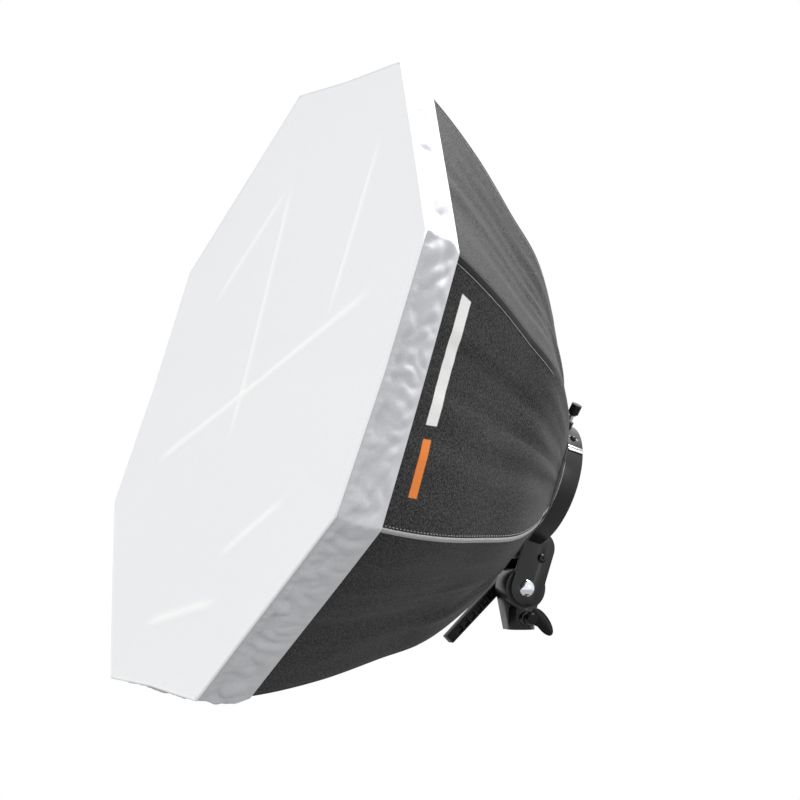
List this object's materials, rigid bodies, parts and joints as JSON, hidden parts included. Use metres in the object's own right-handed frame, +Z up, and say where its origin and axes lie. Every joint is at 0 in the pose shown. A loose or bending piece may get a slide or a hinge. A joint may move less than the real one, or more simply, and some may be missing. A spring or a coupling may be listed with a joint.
{
  "type": "studio softbox",
  "caption": "Folding octagonal softbox with a white front, bowed ribs, steel ring with flash clamp, and a tilting bracket for a stand stud.",
  "frame": {"origin": "middle of the stand socket's mouth", "axes": "+Z up along the socket, light leaves towards -Y (18 degrees up at rest), +X across the front, towards the bolt head's side"},
  "size_m": [0.7446, 0.5163, 0.724],
  "materials": {
    "black_enamel": "satin powder coat",
    "black_steel": "blackened steel",
    "rubber": "matt",
    "brass": "turned",
    "bright_steel": "zinc plated",
    "rod_steel": "drawn spring steel",
    "chrome": "bright",
    "black_plastic": "fine moulded",
    "black_fabric": "coated woven polyester, black outside, silver inside",
    "white_fabric": "white translucent nylon"
  },
  "bodies": {
    "stand_mount": {"stand_socket": "black_enamel", "friction_washers": "rubber"},
    "stand_shoe": {"stand_shoe": "brass"},
    "stand_screw": {"stand_screw_shank": "bright_steel", "stand_screw_paddle": "black_plastic"},
    "head": {"bracket_plate_near": "black_enamel", "bracket_plate_far": "black_enamel", "ring_lug": "black_enamel", "bracket_screws": "black_steel", "tilt_bolt": "chrome", "ring_band": "black_enamel", "ring_seam_bar": "bright_steel", "ring_rivets": "black_steel", "hinge_blocks": "black_enamel", "hinge_pins": "bright_steel", "flash_rest": "black_enamel", "rest_pad": "rubber", "jaw_boss": "black_enamel", "neck_collar": "black_fabric"},
    "tilt_lever": {"tilt_lever": "black_plastic", "lever_nut": "bright_steel"},
    "flash_jaw": {"flash_jaw": "black_enamel", "jaw_pad": "rubber"},
    "clamp_screw": {"clamp_spindle": "bright_steel", "clamp_knob": "black_steel"},
    "diffuser": {"diffuser_front": "white_fabric", "diffuser_skirt": "white_fabric"},
    "rib_1": {"rib_arm_1": "bright_steel", "rib_rod_1": "rod_steel", "rib_tip_1": "black_plastic", "cover_1": "black_fabric"},
    "rib_2": {"rib_arm_2": "bright_steel", "rib_rod_2": "rod_steel", "rib_tip_2": "black_plastic", "cover_2": "black_fabric"},
    "rib_3": {"rib_arm_3": "bright_steel", "rib_rod_3": "rod_steel", "rib_tip_3": "black_plastic", "cover_3": "black_fabric"},
    "rib_4": {"rib_arm_4": "bright_steel", "rib_rod_4": "rod_steel", "rib_tip_4": "black_plastic", "cover_4": "black_fabric"},
    "rib_5": {"rib_arm_5": "bright_steel", "rib_rod_5": "rod_steel", "rib_tip_5": "black_plastic", "cover_5": "black_fabric"},
    "rib_6": {"rib_arm_6": "bright_steel", "rib_rod_6": "rod_steel", "rib_tip_6": "black_plastic", "cover_6": "black_fabric"},
    "rib_7": {"rib_arm_7": "bright_steel", "rib_rod_7": "rod_steel", "rib_tip_7": "black_plastic", "cover_7": "black_fabric"},
    "rib_8": {"rib_arm_8": "bright_steel", "rib_rod_8": "rod_steel", "rib_tip_8": "black_plastic", "cover_8": "black_fabric"}
  },
  "joints": [
    {"name": "head_tilt", "type": "hinge", "parent": "stand_mount", "child": "head", "pos_m": [0, 0, 0.05], "axis": [1, 0, 0], "range_deg": [-70, 50]},
    {"name": "lever_turn", "type": "hinge", "parent": "head", "child": "tilt_lever", "pos_m": [-0.03, 0, 0.05], "axis": [1, 0, 0], "range_deg": [-20, 0]},
    {"name": "stand_shoe_slide", "type": "slide", "parent": "stand_mount", "child": "stand_shoe", "axis": [-1, 0, 0], "range_m": [0, 0.0015]},
    {"name": "stand_screw_turn", "type": "hinge", "parent": "stand_shoe", "child": "stand_screw", "pos_m": [0.02, 0, 0.0135], "axis": [-1, 0, 0], "range_deg": [0, 432]},
    {"name": "flash_jaw_slide", "type": "slide", "parent": "head", "child": "flash_jaw", "axis": [-0.3827, -0.2855, -0.8787], "range_m": [0, 0.004]},
    {"name": "clamp_screw_turn", "type": "hinge", "parent": "flash_jaw", "child": "clamp_screw", "pos_m": [0.03061, 0.04901, 0.24743], "axis": [-0.3827, -0.2855, -0.8787], "range_deg": [0, 960]},
    {"name": "rib_fold_1", "type": "hinge", "parent": "head", "child": "rib_1", "pos_m": [0.0813, 0.01318, 0.21677], "axis": [0.3827, -0.2855, -0.8787], "range_deg": [0, 42], "deforming": ["cover_1"]},
    {"name": "rib_fold_2", "type": "hinge", "parent": "head", "child": "rib_2", "pos_m": [0.03368, 0.0279, 0.26206], "axis": [0.9239, -0.1183, -0.364], "range_deg": [0, 42], "deforming": ["cover_2"]},
    {"name": "rib_fold_3", "type": "hinge", "parent": "head", "child": "rib_3", "pos_m": [-0.03368, 0.0279, 0.26206], "axis": [0.9239, 0.1183, 0.364], "range_deg": [0, 42], "deforming": ["cover_3"]},
    {"name": "rib_fold_4", "type": "hinge", "parent": "head", "child": "rib_4", "pos_m": [-0.0813, 0.01318, 0.21677], "axis": [0.3827, 0.2855, 0.8787], "range_deg": [0, 42], "deforming": ["cover_4"]},
    {"name": "rib_fold_5", "type": "hinge", "parent": "head", "child": "rib_5", "pos_m": [-0.0813, -0.00764, 0.15271], "axis": [-0.3827, 0.2855, 0.8787], "range_deg": [0, 42], "deforming": ["cover_5"]},
    {"name": "rib_fold_6", "type": "hinge", "parent": "head", "child": "rib_6", "pos_m": [-0.03368, -0.02235, 0.10742], "axis": [-0.9239, 0.1183, 0.364], "range_deg": [0, 42], "deforming": ["cover_6"]},
    {"name": "rib_fold_7", "type": "hinge", "parent": "head", "child": "rib_7", "pos_m": [0.03368, -0.02235, 0.10742], "axis": [-0.9239, -0.1183, -0.364], "range_deg": [0, 42], "deforming": ["cover_7"]},
    {"name": "rib_fold_8", "type": "hinge", "parent": "head", "child": "rib_8", "pos_m": [0.0813, -0.00764, 0.15271], "axis": [-0.3827, -0.2855, -0.8787], "range_deg": [0, 42], "deforming": ["cover_8"]},
    {"name": "diffuser_off", "type": "slide", "parent": "head", "child": "diffuser", "axis": [0, -0.9511, 0.309], "range_m": [0, 0.24]}
  ],
  "couplings": [
    {"joint": "rib_fold_2", "follows": "rib_fold_1", "ratio": 1},
    {"joint": "rib_fold_3", "follows": "rib_fold_1", "ratio": 1},
    {"joint": "rib_fold_4", "follows": "rib_fold_1", "ratio": 1},
    {"joint": "rib_fold_5", "follows": "rib_fold_1", "ratio": 1},
    {"joint": "rib_fold_6", "follows": "rib_fold_1", "ratio": 1},
    {"joint": "rib_fold_7", "follows": "rib_fold_1", "ratio": 1},
    {"joint": "rib_fold_8", "follows": "rib_fold_1", "ratio": 1},
    {"joint": "diffuser_off", "follows": "rib_fold_1", "m_per_rad": 0.32},
    {"joint": "stand_screw_turn", "follows": "stand_shoe_slide", "rad_per_m": 5026.5},
    {"joint": "clamp_screw_turn", "follows": "flash_jaw_slide", "rad_per_m": 4188.8}
  ]
}
